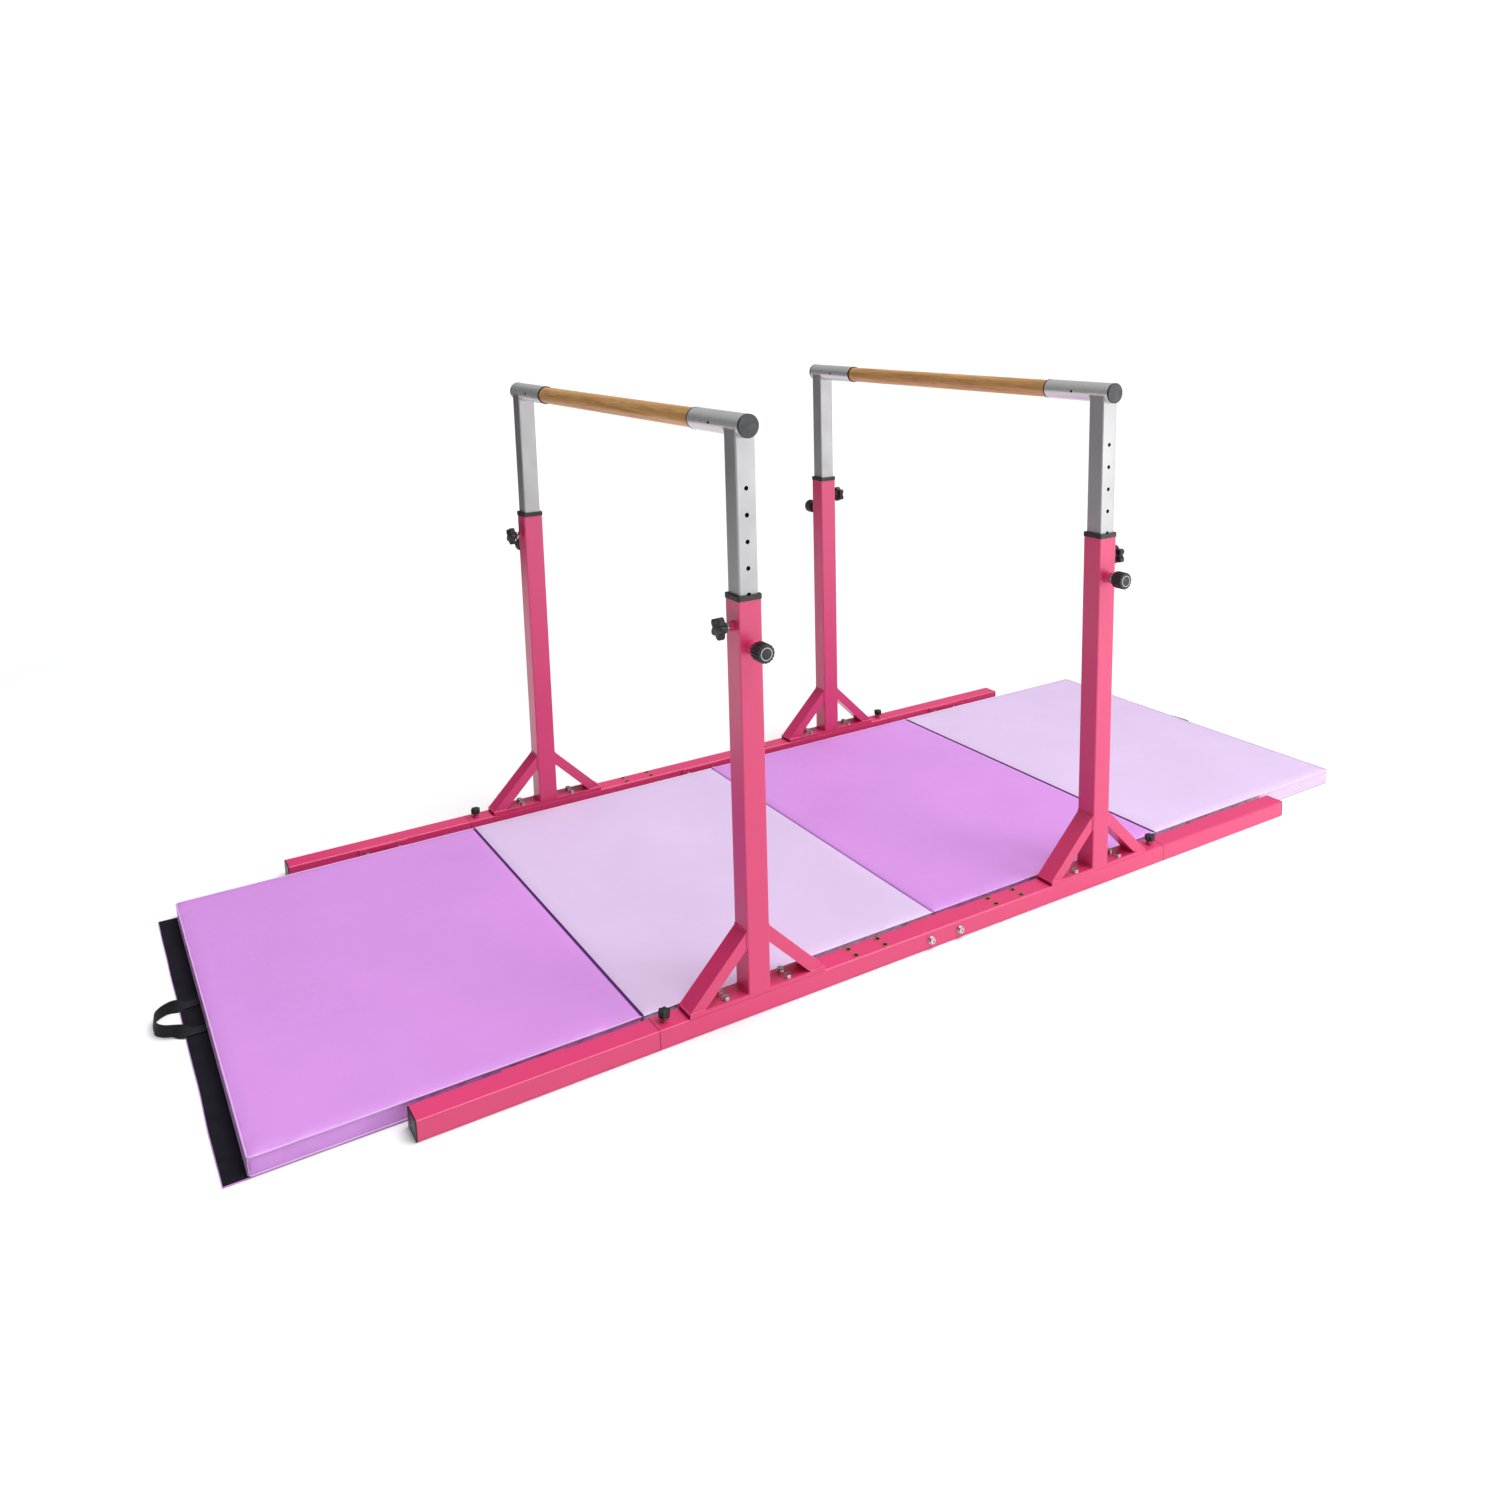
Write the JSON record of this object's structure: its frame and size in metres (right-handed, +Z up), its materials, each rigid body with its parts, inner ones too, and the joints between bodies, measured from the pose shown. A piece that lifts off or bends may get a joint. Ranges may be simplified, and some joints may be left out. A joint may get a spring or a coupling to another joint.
{
  "type": "gymnastics bars",
  "caption": "Height-adjustable twin gymnastics bars: wooden rails on telescoping square posts, bolted floor frame and a folding mat.",
  "frame": {"origin": "on the floor, at the centre of the underside of the middle cross-beam, half way between the two floor rails", "axes": "+X along the floor rails, from the left post pair to the right one; +Y across them, along the wooden bars; +Z up"},
  "size_m": [2.974, 1.258, 1.1824],
  "materials": {
    "pink_paint": "satin",
    "silver_paint": "satin",
    "zinc_plate": "satin",
    "yellow_zinc": "satin",
    "black_plastic": "satin",
    "grey_cap": "satin",
    "beech": "satin",
    "mat_purple": "satin",
    "mat_lavender": "satin",
    "hook_tape": "matte",
    "webbing": "matte"
  },
  "bodies": {
    "floor_frame": {"main_rail_near": "pink_paint", "main_rail_far": "pink_paint", "center_cross_beam": "pink_paint", "frame_bolts": "zinc_plate", "rail_rivet_nuts": "yellow_zinc", "post_tube_left_near": "pink_paint", "post_tube_left_far": "pink_paint", "post_tube_right_near": "pink_paint", "post_tube_right_far": "pink_paint", "post_base_left_near": "pink_paint", "post_base_left_far": "pink_paint", "post_base_right_near": "pink_paint", "post_base_right_far": "pink_paint", "post_collars": "black_plastic", "knob_bosses": "pink_paint", "pin_barrels": "zinc_plate", "pin_springs": "zinc_plate"},
    "left_end_frame": {"extension_left_near": "pink_paint", "extension_left_far": "pink_paint", "end_cross_beam_left": "pink_paint", "end_bolts_left": "zinc_plate", "rail_caps_left": "black_plastic"},
    "left_bar": {"upright_left_near": "silver_paint", "upright_left_far": "silver_paint", "bar_sleeves_left": "silver_paint", "wooden_bar_left": "beech", "bar_caps_left": "grey_cap", "bar_fittings_left": "black_plastic", "glide_plugs_left": "black_plastic"},
    "right_end_frame": {"extension_right_near": "pink_paint", "extension_right_far": "pink_paint", "end_cross_beam_right": "pink_paint", "end_bolts_right": "zinc_plate", "rail_caps_right": "black_plastic"},
    "right_bar": {"upright_right_near": "silver_paint", "upright_right_far": "silver_paint", "bar_sleeves_right": "silver_paint", "wooden_bar_right": "beech", "bar_caps_right": "grey_cap", "bar_fittings_right": "black_plastic", "glide_plugs_right": "black_plastic"},
    "pull_pin_left_near": {"pull_pin_left_near": "black_plastic"},
    "clamp_knob_left_near": {"clamp_knob_left_near": "black_plastic"},
    "rail_knob_left_near": {"rail_knob_left_near": "black_plastic"},
    "pull_pin_left_far": {"pull_pin_left_far": "black_plastic"},
    "clamp_knob_left_far": {"clamp_knob_left_far": "black_plastic"},
    "rail_knob_left_far": {"rail_knob_left_far": "black_plastic"},
    "pull_pin_right_near": {"pull_pin_right_near": "black_plastic"},
    "clamp_knob_right_near": {"clamp_knob_right_near": "black_plastic"},
    "rail_knob_right_near": {"rail_knob_right_near": "black_plastic"},
    "pull_pin_right_far": {"pull_pin_right_far": "black_plastic"},
    "clamp_knob_right_far": {"clamp_knob_right_far": "black_plastic"},
    "rail_knob_right_far": {"rail_knob_right_far": "black_plastic"},
    "mat_middle": {"mat_panel_2": "mat_lavender", "mat_panel_3": "mat_purple"},
    "mat_left_leaf": {"mat_panel_1": "mat_purple", "mat_flap": "hook_tape", "mat_handle_left": "webbing"},
    "mat_right_leaf": {"mat_panel_4": "mat_lavender", "mat_handle_right": "webbing"}
  },
  "joints": [
    {"name": "left_end_slide", "type": "slide", "parent": "floor_frame", "child": "left_end_frame", "axis": [-1, 0, 0], "range_m": [0, 0.075]},
    {"name": "right_end_slide", "type": "slide", "parent": "floor_frame", "child": "right_end_frame", "axis": [1, 0, 0], "range_m": [0, 0.075]},
    {"name": "left_bar_height", "type": "slide", "parent": "floor_frame", "child": "left_bar", "axis": [0, 0, 1], "range_m": [-0.25, 0.3]},
    {"name": "right_bar_height", "type": "slide", "parent": "floor_frame", "child": "right_bar", "axis": [0, 0, 1], "range_m": [-0.25, 0.3]},
    {"name": "pull_pin_left_near_pull", "type": "slide", "parent": "floor_frame", "child": "pull_pin_left_near", "axis": [0, -1, 0], "range_m": [0, 0.008], "stiffness_N_per_m": 400, "springref_m": -0.01, "deforming": ["pin_springs"]},
    {"name": "pull_pin_left_far_pull", "type": "slide", "parent": "floor_frame", "child": "pull_pin_left_far", "axis": [0, 1, 0], "range_m": [0, 0.008], "stiffness_N_per_m": 400, "springref_m": -0.01, "deforming": ["pin_springs"]},
    {"name": "pull_pin_right_near_pull", "type": "slide", "parent": "floor_frame", "child": "pull_pin_right_near", "axis": [0, -1, 0], "range_m": [0, 0.008], "stiffness_N_per_m": 400, "springref_m": -0.01, "deforming": ["pin_springs"]},
    {"name": "pull_pin_right_far_pull", "type": "slide", "parent": "floor_frame", "child": "pull_pin_right_far", "axis": [0, 1, 0], "range_m": [0, 0.008], "stiffness_N_per_m": 400, "springref_m": -0.01, "deforming": ["pin_springs"]},
    {"name": "clamp_knob_left_near_turn", "type": "hinge", "parent": "floor_frame", "child": "clamp_knob_left_near", "pos_m": [-0.5, -0.55, 0.785], "axis": [-1, 0, 0], "range_deg": [0, 540]},
    {"name": "clamp_knob_left_far_turn", "type": "hinge", "parent": "floor_frame", "child": "clamp_knob_left_far", "pos_m": [-0.5, 0.55, 0.785], "axis": [-1, 0, 0], "range_deg": [0, 540]},
    {"name": "clamp_knob_right_near_turn", "type": "hinge", "parent": "floor_frame", "child": "clamp_knob_right_near", "pos_m": [0.5, -0.55, 0.785], "axis": [1, 0, 0], "range_deg": [0, 540]},
    {"name": "clamp_knob_right_far_turn", "type": "hinge", "parent": "floor_frame", "child": "clamp_knob_right_far", "pos_m": [0.5, 0.55, 0.785], "axis": [1, 0, 0], "range_deg": [0, 540]},
    {"name": "rail_knob_left_near_turn", "type": "hinge", "parent": "floor_frame", "child": "rail_knob_left_near", "pos_m": [-0.668, -0.55, 0.05], "axis": [0, 0, 1], "range_deg": [0, 540]},
    {"name": "rail_knob_left_far_turn", "type": "hinge", "parent": "floor_frame", "child": "rail_knob_left_far", "pos_m": [-0.668, 0.55, 0.05], "axis": [0, 0, 1], "range_deg": [0, 540]},
    {"name": "rail_knob_right_near_turn", "type": "hinge", "parent": "floor_frame", "child": "rail_knob_right_near", "pos_m": [0.668, -0.55, 0.05], "axis": [0, 0, 1], "range_deg": [0, 540]},
    {"name": "rail_knob_right_far_turn", "type": "hinge", "parent": "floor_frame", "child": "rail_knob_right_far", "pos_m": [0.668, 0.55, 0.05], "axis": [0, 0, 1], "range_deg": [0, 540]},
    {"name": "mat_lift", "type": "slide", "parent": "floor_frame", "child": "mat_middle", "axis": [0, 0, 1], "range_m": [0, 0.3]},
    {"name": "mat_left_fold", "type": "hinge", "parent": "mat_middle", "child": "mat_left_leaf", "pos_m": [-0.694, 0, 0.0405], "axis": [0, 1, 0], "range_deg": [0, 180], "deforming": ["mat_handle_left", "mat_flap"]},
    {"name": "mat_right_fold", "type": "hinge", "parent": "mat_middle", "child": "mat_right_leaf", "pos_m": [0.734, 0, 0.0405], "axis": [0, -1, 0], "range_deg": [0, 180], "deforming": ["mat_handle_right"]}
  ]
}
